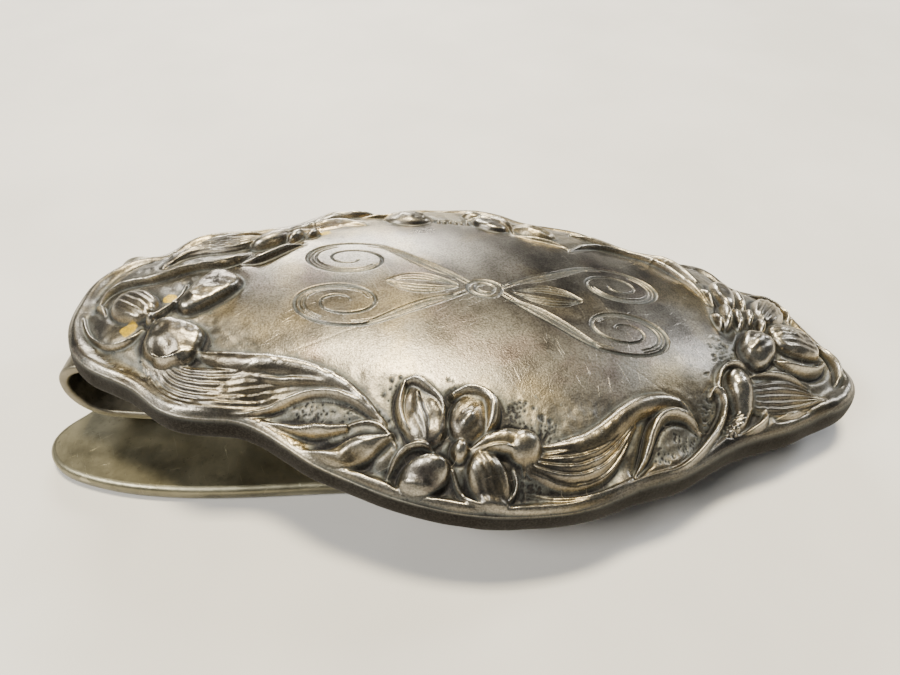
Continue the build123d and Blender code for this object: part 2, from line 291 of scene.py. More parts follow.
def dig(near, gap, depth):
    """A narrow sunk line beside a form's outline, where the punch went deepest."""
    moat[near] = np.maximum(moat[near], depth * np.exp(-((gap / PUNCH_REACH) ** 2)))


def swell(at, values):
    """A smooth run through evenly spaced values, for widths and heights along a stroke."""
    v = np.array(values, float)
    last = len(v) - 1
    at = np.clip(at, 0, 1) * last
    i = np.minimum(at.astype(int), last - 1)
    f = at - i
    before, a, b, after = v[np.maximum(i - 1, 0)], v[i], v[i + 1], v[np.minimum(i + 2, last)]
    bend = 2 * before - 5 * a + 4 * b - after + f * (3 * (a - b) + after - before)
    return np.maximum(a + 0.5 * f * (b - before + f * bend), 0.03)


def stroke(points, wide, high, form=rounded, lines=0, cut=0.07, sink=0.16, over=False):
    """A raised stroke along a curve. wide and high are half widths and heights along its length."""
    path = curve(points, 16 * len(points))
    margin = max(wide) + CLEARANCE
    near = around(path.min(0), path.max(0), margin)
    side, along = nearest(path, X[near], Y[near])
    half = swell(along, wide)
    tall = swell(along, high)
    u = np.clip(side / half, -1, 1)
    height = tall * form(u)
    if lines:
        height = height + cut * np.cos(2 * math.pi * lines * u) * smooth(0, 0.25, 1 - np.abs(u))
    height = height - sink * np.exp(-(((1 - np.abs(u)) * half / CUT_EDGE) ** 2))
    within = np.abs(side) < half
    inside = np.zeros(X.shape, bool)
    inside[near] = within
    lay(inside, height[within], over)
    if sink and not over:
        dig(near, np.maximum(np.abs(side) - half, 0), sink * smooth(0, 0.08, half))


def petal(centre, heading, long, wide, high, lines=0, taper=0.0, cup=0.0, crumple=0.0, cut=0.08,
          power=0.6, sink=0.18, corner=2.0, seed=7):
    """A raised petal or bud: an oval dome, with grooves, a sunk middle or crumpled skin."""
    near = around(centre, centre, long + wide + CLEARANCE)
    c, s = math.cos(math.radians(heading)), math.sin(math.radians(heading))
    px, py = X[near] - centre[0], Y[near] - centre[1]
    a = (px * c + py * s) / long
    b = (py * c - px * s) / (wide * np.clip(1 + taper * a, 0.15, 3))
    q = (np.abs(a) ** corner + np.abs(b) ** corner) ** (1 / corner)
    dome = np.clip(1 - q * q, 0, 1)
    height = high * dome**power
    height -= cup * high * np.exp(-((q / 0.55) ** 2))
    if lines:
        height += cut * np.cos(2 * math.pi * lines * b + 1.5 * a) * dome**0.4
    if crumple:
        folds = noise(X[near], Y[near], 1.5, seed) + 0.35 * noise(X[near], Y[near], 0.5, seed + 1)
        height += crumple * folds * dome**0.4
    height = np.maximum(height, 0.02) - sink * np.exp(-(((1 - q) * wide / CUT_EDGE) ** 2))
    within = q < 1
    inside = np.zeros(X.shape, bool)
    inside[near] = within
    lay(inside, height[within], False)
    dig(near, np.maximum(q - 1, 0) * wide, sink)


def pits(centre, spread, count, seed):
    """Small punched holes scattered round a flower."""
    draw = np.random.default_rng(seed)
    wide, high = MAT_REACH * spread[0], MAT_REACH * spread[1]
    gap2 = ((X - centre[0]) / wide) ** 2 + ((Y - centre[1]) / high) ** 2
    matted[:] = np.maximum(matted, np.exp(-gap2))
    for _ in range(count):
        cx, cy = np.array(centre) + draw.normal(0, 1, 2) * spread
        size, depth = draw.uniform(0.06, 0.115), draw.uniform(0.06, 0.2)
        near = around((cx, cy), (cx, cy), 0.5)
        gap2 = (X[near] - cx) ** 2 + (Y[near] - cy) ** 2
        moat[near] = np.maximum(moat[near], depth * np.exp(-gap2 / size**2))
        punched[near] = np.maximum(punched[near], np.exp(-gap2 / size**2))


def bead(x, y, radius, high):
    petal((x, y), 0, radius, radius, high, sink=0.25)


# ---- near side: the long leaf at the left and its buds ----
def near_leaf():
    top_fold = [(-23.0, -7.9), (-19.0, -8.8), (-14.0, -9.3), (-10.6, -10.4), (-8.4, -11.9), (-6.9, -13.1)]
    low_fold = [(-20.8, -12.1), (-18.0, -12.2), (-15.0, -11.4), (-12.0, -10.9), (-9.4, -11.6), (-7.1, -13.0)]
    face = [(-25.6, -8.0), (-24.4, -9.7), (-21.8, -10.7), (-18.0, -10.7), (-13.6, -10.3), (-9.8, -11.1),
            (-7.2, -12.9)]
    stroke(face, [1.2, 1.5, 1.6, 1.5, 1.1, 0.7, 0.2], [0.1, 0.25, 0.35, 0.5, 0.6, 0.6, 0.1],
           lip_left, lines=4, cut=0.055, sink=0.0)
    stroke(top_fold, [0.2, 0.85, 0.85, 0.7, 0.5, 0.1], [0.15, 0.72, 0.95, 1.0, 0.75, 0.15], sink=0.04)
    stroke([(-19.4, -9.6), (-15.4, -10.1), (-12.0, -10.3), (-9.4, -11.4)],
           [0.08, 0.3, 0.34, 0.1], [0.2, 0.55, 0.7, 0.3], sink=0.05)
    stroke(low_fold, [0.08, 0.16, 0.2, 0.22, 0.24, 0.1], [0.1, 0.45, 0.7, 0.85, 0.75, 0.15], sink=0.3)
    stroke([(-16.4, -12.6), (-13.8, -13.1), (-11.4, -13.4), (-9.9, -13.3)],
           [0.12, 0.34, 0.45, 0.3], [0.15, 0.5, 0.6, 0.4], sink=0.2)
    stroke([(-12.8, -14.7), (-10.4, -15.1), (-8.4, -14.7), (-6.5, -13.9)],
           [0.15, 0.7, 0.95, 0.3], [0.2, 0.8, 1.05, 0.4], lines=1, cut=0.05, sink=0.3)
    stroke([(-9.6, -13.1), (-8.2, -12.9), (-6.9, -13.5), (-6.0, -14.6)],
           [0.1, 0.13, 0.13, 0.08], [0.3, 0.4, 0.4, 0.2])
    for i in range(9):
        bead_y = -13.95 - 0.15 * i + 0.16 * math.sin(7 * i)
        bead(-15.4 + 0.48 * i, bead_y, 0.17 + 0.04 * math.sin(5 * i), 0.18)


# ---- near side: the five-petalled flower ----
def near_flower():
    # pointed petal with a folded tip
    petal((-4.35, -12.4), 112, 2.55, 1.6, 0.85, taper=-0.25, cup=0.12, crumple=0.14, power=0.4,
          sink=0.2, seed=11)
    stroke([(-4.9, -11.0), (-4.7, -12.2), (-4.2, -13.2), (-3.9, -14.2)],
           [0.3, 0.5, 0.45, 0.15], [0.2, 0.34, 0.3, 0.1], soft, sink=0.0, over=True)
    stroke([(-6.0, -10.3), (-5.3, -10.1), (-4.1, -10.7), (-3.0, -11.7), (-2.7, -13.0)],
           [0.25, 0.5, 0.42, 0.3, 0.1], [0.9, 1.35, 1.2, 1.0, 0.6], sink=0.12)
    stroke([(-5.9, -10.4), (-6.1, -11.8), (-5.6, -13.3), (-4.4, -14.6)],
           [0.3, 0.34, 0.28, 0.1], [0.9, 1.0, 0.85, 0.3], sink=0.12)
    # cupped petal with a curled lip and a small ball in its throat
    petal((-0.75, -12.5), 72, 2.1, 1.65, 0.85, cup=0.1, crumple=0.1, power=0.4, sink=0.2, seed=13)
    stroke([(-2.2, -10.9), (-1.3, -10.6), (-0.2, -10.7), (0.65, -11.3), (0.85, -12.5), (0.3, -13.9)],
           [0.28, 0.44, 0.56, 0.68, 0.55, 0.12], [0.85, 1.25, 1.35, 1.45, 1.15, 0.5], sink=0.2)
    stroke([(-1.2, -13.3), (-0.8, -12.7), (-0.6, -12.2)],
           [0.7, 0.8, 0.5], [0.4, 0.5, 0.2], soft, sink=0.0, over=True)
    # ridged petal that ends in a ball, with a hooked fold under it
    stroke([(-0.8, -14.9), (0.9, -14.2), (2.3, -13.9), (3.3, -14.1), (3.9, -14.4)],
           [0.2, 0.6, 0.95, 1.1, 0.8], [0.45, 0.95, 1.15, 1.25, 1.0], sink=0.3)
    petal((3.3, -14.1), 10, 1.45, 1.2, 1.5, power=0.6, sink=0.0)
    stroke([(0.2, -14.2), (1.4, -13.75), (2.6, -13.5)], [0.06, 0.14, 0.06], [0.9, 1.2, 1.1], sink=0.0)
    stroke([(-0.6, -15.05), (0.8, -14.75), (2.2, -14.6), (3.2, -15.0), (3.5, -15.7)],
           [0.1, 0.26, 0.28, 0.26, 0.12], [0.6, 1.1, 1.3, 1.1, 0.5], sink=0.2)
    # striated oval petal in a thin sheath
    petal((0.95, -16.5), -52, 2.1, 1.45, 1.15, lines=3, cut=0.05, power=0.5)
    stroke([(-1.8, -16.0), (-0.8, -17.4), (0.8, -18.0), (2.4, -17.6), (3.0, -16.4), (2.7, -15.6)],
           [0.1, 0.2, 0.18, 0.18, 0.16, 0.1], [0.3, 0.5, 0.5, 0.55, 0.55, 0.3], sink=0.12)
    # round petal under an arched sepal
    petal((-3.8, -16.4), 12, 1.95, 1.25, 1.35, power=0.55, sink=0.3)
    stroke([(-6.4, -16.4), (-5.9, -15.4), (-4.9, -14.7), (-3.9, -14.7), (-3.0, -15.2)],
           [0.08, 0.2, 0.24, 0.22, 0.08], [0.4, 0.75, 0.85, 0.75, 0.3], sink=0.16)
    bead(-1.35, -14.9, 0.72, 0.95)
    pits((2.3, -11.7), (0.8, 0.6), 68, 21)
    pits((-2.4, -11.7), (0.25, 0.9), 51, 22)
    pits((4.9, -13.0), (0.5, 0.8), 61, 23)
    pits((-6.4, -11.6), (0.4, 1.2), 31, 24)
    pits((3.9, -16.4), (0.8, 0.5), 51, 25)


# ---- near side: strands that sweep up into the whiplash leaf ----
def near_strands():
    stroke([(4.3, -15.0), (7.0, -15.0), (9.3, -14.0), (11.0, -12.3), (12.0, -11.0)],
           [0.9, 1.35, 1.35, 0.9, 0.3], [0.3, 0.5, 0.55, 0.45, 0.2], plateau, lines=2.5, cut=0.17, sink=0.08)
    stroke([(4.8, -13.8), (7.2, -13.4), (9.6, -12.2), (11.2, -10.6), (13.4, -9.2), (15.8, -8.8),
            (18.2, -10.2)],
           [0.2, 0.75, 0.95, 0.85, 0.8, 0.7, 0.1], [0.2, 0.65, 0.85, 0.85, 0.85, 0.75, 0.2], sink=0.05)
    stroke([(3.8, -16.8), (7.0, -16.7), (9.8, -15.9), (12.0, -14.6)],
           [0.08, 0.2, 0.22, 0.08], [0.1, 0.28, 0.3, 0.1], sink=0.1)
    stroke([(12.3, -14.3), (13.1, -12.8), (13.6, -11.2), (14.6, -9.9), (16.2, -9.4), (17.4, -9.6),
            (18.6, -10.4)],
           [0.1, 0.4, 0.5, 0.45, 0.34, 0.22, 0.05], [0.2, 0.9, 1.05, 1.05, 0.95, 0.7, 0.1], sink=0.3)
    stroke([(13.6, -14.2), (15.6, -13.5), (17.2, -12.4), (18.7, -10.7), (19.8, -9.2), (20.3, -7.8),
            (20.0, -6.8), (19.4, -6.6), (19.1, -7.2)],
           [0.08, 0.2, 0.26, 0.32, 0.36, 0.4, 0.38, 0.34, 0.2],
           [0.2, 0.5, 0.6, 0.7, 0.8, 0.85, 0.85, 0.75, 0.4], sink=0.22)
    stroke([(6.0, -17.4), (9.6, -16.3), (13.0, -14.6), (16.6, -13.1), (19.6, -11.2)],
           [0.1, 0.25, 0.3, 0.25, 0.1], [0.1, 0.22, 0.26, 0.22, 0.1], sink=0.08)
    pits((16.6, -11.2), (1.1, 0.8), 58, 31)
    pits((18.7, -8.6), (0.4, 1.0), 58, 32)
    pits((14.4, -12.4), (0.4, 0.6), 20, 33)


# ---- right end: bud, band, and the crowded flower ----
def right_flower():
    petal((21.8, -6.5), 100, 2.2, 1.25, 1.35, taper=0.25, power=0.55, crumple=0.05, sink=0.3)
    stroke([(22.3, -6.9), (21.8, -8.3), (20.7, -9.6)], [0.9, 0.7, 0.15], [0.9, 0.7, 0.2])
    for row in range(3):
        for i in range(6):
            bead(22.4 - 0.3 * i + 0.34 * row - 0.45, -7.4 - 0.4 * i - 0.12 * row, 0.2, 1.15 - 0.11 * i)
    stroke([(20.0, -7.4), (19.9, -5.6), (20.7, -4.4), (22.0, -3.9), (23.2, -4.4)],
           [0.1, 0.22, 0.26, 0.24, 0.1], [0.3, 0.6, 0.7, 0.7, 0.3])
    stroke([(23.8, -6.6), (24.15, -7.3), (24.0, -8.0), (23.3, -8.7), (22.0, -9.4)],
           [0.15, 0.26, 0.3, 0.26, 0.1], [0.5, 0.75, 0.8, 0.7, 0.25], sink=0.2)
    stroke([(23.4, -6.4), (25.4, -5.9), (27.6, -5.3), (30.2, -4.8)],
           [1.2, 1.45, 1.1, 0.3], [0.4, 0.5, 0.35, 0.08], plateau, lines=3, cut=0.09, sink=0.04)
    stroke([(25.4, -7.5), (26.8, -7.0), (28.2, -6.4)], [0.1, 0.3, 0.1], [0.2, 0.5, 0.2], sink=0.3)
    stroke([(23.2, -4.6), (24.6, -4.2), (26.6, -4.0), (28.8, -4.1)],
           [0.1, 0.24, 0.26, 0.08], [0.3, 0.6, 0.55, 0.12], sink=0.12)
    petal((24.0, -2.0), 60, 1.85, 1.55, 1.15, crumple=0.3, power=0.3, taper=0.15, corner=2.8, seed=41,
          sink=0.3)
    stroke([(23.2, -2.6), (24.2, -1.6), (25.2, -1.2)],
           [0.3, 0.7, 0.3], [0.1, 0.3, 0.1], soft, sink=0.0, over=True)
    petal((22.0, 1.6), 82, 1.9, 0.62, 1.15, power=0.6, sink=0.3)
    petal((21.1, 0.8), 100, 1.1, 0.36, 0.7, power=0.6, sink=0.2)
    petal((23.3, 1.8), 84, 1.6, 0.55, 0.75, power=0.5, crumple=0.12, seed=43, sink=0.3)
    petal((24.4, 2.2), 80, 1.3, 0.5, 1.0, power=0.5, sink=0.3)
    petal((25.3, 1.2), 78, 1.2, 0.5, 0.95, power=0.6, sink=0.25)
    petal((22.8, 5.0), 92, 2.3, 1.15, 1.15, taper=0.2, cup=0.2, power=0.5, crumple=0.08, seed=45)
    petal((24.6, 5.2), 88, 2.0, 0.55, 0.8, power=0.6)
    petal((27.1, 4.0), 56, 2.7, 1.6, 1.15, lines=3, cut=0.09, taper=0.25, power=0.4, crumple=0.1, seed=46)
    petal((28.6, 0.5), 12, 2.9, 1.95, 1.2, lines=3, cut=0.05, crumple=0.26, power=0.38, corner=2.4, seed=47)
    stroke([(25.6, -2.6), (27.2, -3.0), (28.9, -2.9), (30.4, -2.1), (31.3, -1.0), (31.7, -0.4)],
           [0.15, 0.26, 0.32, 0.32, 0.28, 0.1], [0.5, 0.95, 1.1, 1.1, 0.9, 0.4], sink=0.35)
    stroke([(30.9, 2.2), (32.2, 1.6), (33.0, 0.4), (33.0, -1.2), (32.3, -2.7)],
           [0.2, 0.45, 0.5, 0.42, 0.12], [0.5, 0.9, 1.0, 0.8, 0.3], sink=0.3)
    stroke([(30.2, 4.6), (30.6, 6.6), (28.6, 7.9), (26.6, 8.0)],
           [0.15, 0.4, 0.45, 0.2], [0.3, 0.6, 0.65, 0.3])
    pits((20.8, -2.6), (0.7, 0.8), 51, 51)
    pits((23.4, -5.8), (0.5, 0.5), 27, 52)


# ---- left end: the big flower, the curl and the leaf above it ----
def left_flower():
    petal((-23.0, -2.1), 56, 2.9, 1.6, 1.0, crumple=0.22, power=0.32, taper=0.35, sink=0.12, corner=2.7,
          seed=61)
    stroke([(-25.4, -3.9), (-24.0, -2.8), (-22.9, -1.0)], [0.1, 0.2, 0.1], [0.8, 1.15, 0.9], sink=0.05)
    petal((-24.4, -7.1), -14, 2.4, 1.8, 0.9, crumple=0.22, power=0.3, sink=0.15, corner=3.0, seed=63)
    stroke([(-26.1, -8.1), (-25.0, -8.8), (-23.6, -8.5), (-22.6, -7.6)],
           [0.1, 0.24, 0.26, 0.1], [0.7, 1.1, 1.1, 0.7], sink=0.08)
    petal((-28.7, -3.5), 150, 2.4, 1.7, 1.05, lines=3, cut=0.07, cup=0.1, power=0.45, taper=0.15, sink=0.15)
    stroke([(-26.8, -5.4), (-27.6, -4.2), (-28.9, -3.4), (-30.0, -3.8)],
           [0.1, 0.24, 0.24, 0.1], [0.5, 1.0, 1.0, 0.6], sink=0.15)
    stroke([(-26.6, -5.2), (-25.6, -4.1), (-25.1, -2.4), (-25.3, -0.8)],
           [0.22, 0.2, 0.16, 0.1], [0.9, 0.8, 0.6, 0.3], sink=0.2)
    bead(-26.7, -5.3, 0.5, 0.95)
    stroke([(-33.2, -3.9), (-32.3, -5.4), (-31.0, -6.6), (-29.4, -7.2), (-28.0, -6.8), (-27.3, -6.0)],
           [0.08, 0.14, 0.16, 0.18, 0.2, 0.1], [0.2, 0.4, 0.45, 0.55, 0.65, 0.4], sink=0.14)
    stroke([(-32.4, -2.9), (-32.1, -1.4), (-31.2, -0.6), (-29.4, -0.2), (-27.8, 0.1), (-26.2, 0.9),
            (-24.6, 1.4), (-22.8, 1.7), (-21.4, 2.5), (-20.8, 3.4)],
           [0.12, 0.22, 0.24, 0.24, 0.26, 0.28, 0.28, 0.28, 0.26, 0.12],
           [0.35, 0.6, 0.7, 0.7, 0.75, 0.8, 0.8, 0.8, 0.75, 0.4], sink=0.25)
    stroke([(-32.6, -2.6), (-31.8, -3.2), (-31.3, -3.9)], [0.12, 0.22, 0.1], [0.4, 0.6, 0.3])
    stroke([(-28.2, 2.0), (-27.2, 4.0), (-25.0, 5.2), (-22.4, 5.4), (-19.8, 6.8)],
           [0.4, 1.3, 1.6, 1.2, 0.3], [0.2, 0.55, 0.65, 0.55, 0.2], plateau, lines=3, cut=0.09, sink=0.1)
    stroke([(-27.6, 4.9), (-25.4, 6.7), (-22.6, 6.9), (-20.2, 8.0)],
           [0.1, 0.24, 0.26, 0.1], [0.3, 0.7, 0.7, 0.3], sink=0.12)
    petal((-19.4, 5.6), 38, 2.1, 1.0, 1.1, power=0.5)
    petal((-17.3, 6.3), 60, 1.2, 0.6, 0.85, power=0.55)
    petal((-15.9, 6.9), 50, 0.8, 0.5, 0.7, power=0.55)
    stroke([(-21.2, 1.9), (-20.2, 2.1), (-19.0, 2.9), (-18.0, 3.9), (-16.6, 4.9)],
           [0.12, 0.3, 0.34, 0.3, 0.12], [0.3, 0.6, 0.65, 0.55, 0.2])
    gild_patches = (((-26.1, -2.8), 0.55), ((-28.5, -5.9), 0.6), ((-14.9, 7.4), 0.5))
    for (cx, cy), size in gild_patches:
        gap = np.hypot(X - cx, Y - cy) + 0.2 * noise(X, Y, 0.5, 71)
        gild[:] = np.maximum(gild, 1 - smooth(size - 0.06, size + 0.03, gap))
    pits((-27.0, -8.9), (2.2, 0.5), 24, 72)
    pits((-12.6, -12.3), (2.6, 0.45), 85, 73)


# ---- far side: blossoms and leaves seen from behind the dome ----
def far_side():
    petal((-7.4, 11.3), 4, 2.5, 1.7, 0.95, power=0.8, crumple=0.1, sink=0.08, seed=91)
    stroke([(-12.0, 11.2), (-10.2, 12.0), (-8.0, 12.6), (-5.8, 12.4)],
           [0.1, 0.4, 0.5, 0.1], [0.2, 0.5, 0.6, 0.2], sink=0.1)
    for i in range(6):
        bead(-4.4 + 0.55 * i, 11.2 + 0.12 * math.sin(4 * i), 0.24 + 0.05 * math.sin(3 * i), 0.32)
    petal((0.6, 11.2), -24, 2.0, 1.25, 0.85, power=0.6, cup=0.35, crumple=0.1, sink=0.1, seed=92)
    stroke([(-1.6, 12.3), (0.2, 12.6), (1.8, 12.0), (2.7, 10.9), (2.9, 9.9)],
           [0.1, 0.24, 0.3, 0.26, 0.1], [0.3, 0.7, 0.9, 0.8, 0.3], sink=0.1)
    petal((5.0, 10.9), -16, 2.3, 1.3, 0.95, power=0.65, crumple=0.1, lines=2, cut=0.05, sink=0.1, seed=93)
    stroke([(2.9, 9.6), (4.8, 9.2), (6.8, 8.8), (8.2, 8.2)],
           [0.08, 0.2, 0.2, 0.08], [0.2, 0.4, 0.4, 0.2], sink=0.06)
    petal((-1.0, 13.8), 0, 1.2, 0.9, 0.6, power=0.7)
    stroke([(-19.6, 8.9), (-16.4, 8.8), (-13.4, 9.6), (-11.4, 9.4)],
           [0.15, 0.7, 0.8, 0.2], [0.3, 0.8, 0.9, 0.3], lip_left)
    stroke([(-18.4, 10.8), (-15.6, 11.6), (-12.6, 12.0), (-9.8, 12.8)],
           [0.15, 0.5, 0.55, 0.2], [0.3, 0.7, 0.8, 0.3])
    stroke([(8.2, 8.0), (11.2, 10.4), (14.4, 10.2), (17.6, 8.6), (20.2, 5.6), (20.9, 3.4)],
           [0.15, 0.6, 0.7, 0.7, 0.55, 0.15], [0.3, 0.8, 0.9, 0.9, 0.7, 0.2], lip_right)
    stroke([(9.0, 12.6), (12.6, 12.2), (16.2, 10.9), (19.4, 9.2), (21.0, 7.2)],
           [0.15, 0.5, 0.55, 0.5, 0.15], [0.3, 0.7, 0.8, 0.7, 0.3])
    stroke([(20.6, 5.8), (21.2, 4.4), (21.4, 3.2)], [0.1, 0.3, 0.1], [0.2, 0.5, 0.2])


# ---- plain field: a generic engraved flourish of crossing sprays ----
def engrave(points, wide, deep):
    """A shallow cut whose width swells in the middle."""
    path = curve(points, 14 * len(points))
    near = around(path.min(0), path.max(0), wide + 0.2)
    side, along = nearest(path, X[near], Y[near])
    half = ENGRAVED_WIDTH * wide * (0.35 + 0.65 * np.sin(math.pi * np.clip(along, 0, 1)))
    cut = ENGRAVED_DEPTH * deep * np.clip(1 - (side / half) ** 2, 0, 1)
    engraved[near] = np.maximum(engraved[near], cut)


def scroll(flip_x, flip_y):
    """One quarter of the flourish: a shaded stem that leaves the middle and winds into a spiral."""

    def place(points):
        return [(flip_x * x, flip_y * y) for x, y in points]

    def wound(sizes, angles):
        return [(SCROLL_X + SCROLL_WIDE * r * math.cos(t), SCROLL_Y + SCROLL_HIGH * r * math.sin(t))
                for r, t in zip(sizes, angles)]

    turns = np.linspace(0.5 * math.pi, -2.9 * math.pi, 26)
    size = np.linspace(3.0, 0.5, 26)
    stem = [(1.3, 0.5), (3.6, 2.0), (6.2, 3.4), (9.0, 4.8)]
    engrave(place(stem + wound(size, turns)), 0.15, 0.11)
    engrave(place([(x + 0.1, y - 0.34) for x, y in stem] + [(10.6, 4.75)]), 0.08, 0.08)
    for share in (0.9, 0.8):
        engrave(place(wound(share * size[1:11], turns[1:11])), 0.1, 0.09)
    for drop in (0.25, 0.5, 0.75):
        engrave(place([(2.0, 0.95), (4.4, 2.4 - drop), (7.0, 3.85 - drop), (9.6, 4.9)]), 0.09, 0.09)
    for lift in (0.0, 0.3, 0.6):
        engrave(place([(2.4, 0.15), (4.6, 0.4 + lift), (6.8, 0.35 + lift), (8.4, 0.1)]), 0.1, 0.09)


near_leaf()
near_flower()
near_strands()
right_flower()
left_flower()
far_side()
for across in (1, -1):
    for away_side in (1, -1):
        scroll(across, away_side)
for size in (0.55, 1.0):
    ring = np.linspace(0, 2 * math.pi, 14)
    engrave([(1.5 * size * math.cos(t), size * math.sin(t)) for t in ring], 0.14, 0.1)


def box_blur(values, reach_x, reach_y):
    """A soft local mean over the grid."""
    for axis, size in ((0, reach_y), (1, reach_x)):
        for _ in range(2):
            width = [(size + 1, size) if k == axis else (0, 0) for k in (0, 1)]
            total = np.cumsum(np.pad(values, width, mode="edge"), axis)
            count = values.shape[axis]
            upper = np.take(total, range(2 * size + 1, 2 * size + 1 + count), axis)
            values = (upper - np.take(total, range(count), axis)) / (2 * size + 1)
    return values


at_crest = smooth(0.05, 0.9, RIM_GAP)
relief = np.maximum(ground - moat * at_crest, raised * at_crest + ground * (1 - at_crest)) + extra
relief = np.where(K < 1, box_blur(relief, 1, 1), relief) - engraved
cells = COLUMNS / (2 * HALF_LENGTH)
wear_of_rim = smooth(1.6, 0.4, RIM_GAP)
fine_mean = box_blur(relief, round(0.45 * cells), round(0.45 * cells))
wide_mean = box_blur(relief, round(1.3 * cells), round(1.3 * cells))
sunk = raised < ground - moat
# How dark a point is, from patina in the hollows and the punched ground, the broad stains, and painted shade
# towards the field's right end; then how worn, with a painted highlight along the rim's crest.
patina_and_shade = 0.5 * smooth(0.0, 0.28, fine_mean - relief) + 0.38 * smooth(0.0, 0.6, wide_mean - relief)
patina_and_shade += (0.2 * border + 0.22 * matted) * sunk * (1 - wear_of_rim) + 3.4 * engraved
patina_and_shade += 0.75 * punched * sunk + 0.12 * smooth(0.2, 0.8, noise(X, Y, 2.2, 8))
# darker over the near flower
patina_and_shade += 0.14 * np.exp(-(((X + 0.6) / 6) ** 2) - ((Y + 14.4) / 3.4) ** 2)
# painted shade: the plain field darker towards its right end, away from the lamp's highlight
patina_and_shade += 0.10 * smooth(3, 14, X) * (1 - border)
patina_and_shade = np.clip(patina_and_shade, 0, 1)
# paler on the worn high spots
wear_and_sheen = 0.85 * smooth(0.02, 0.22, relief - fine_mean)
# painted highlight: a wider pale band along the rim's crest, partly wear
crest_highlight = smooth(0.4, 0.1, np.abs(RIM_GAP - crest_gap - 0.05)) * smooth(-0.5, 0.4, noise(X, Y, 2.4, 12))
wear_and_sheen = np.maximum(wear_and_sheen, 0.7 * crest_highlight)


# ---- the front shell as one closed sheet ----
COUNT_ON_TOP = (ROWS + 1) * (COLUMNS + 1)
INSIDE_MARKS = (0.8, 0, 0.2)  # painted shade, wear and sheen, and painted black shade inside the hollow shell, where shade falls
number = np.arange(COUNT_ON_TOP).reshape(ROWS + 1, COLUMNS + 1)


def boundary():
    """The grid's outer edge as vertex numbers, anticlockwise."""
    return np.concatenate([number[0, :-1], number[:-1, -1], number[-1, :0:-1], number[:0:-1, 0]])


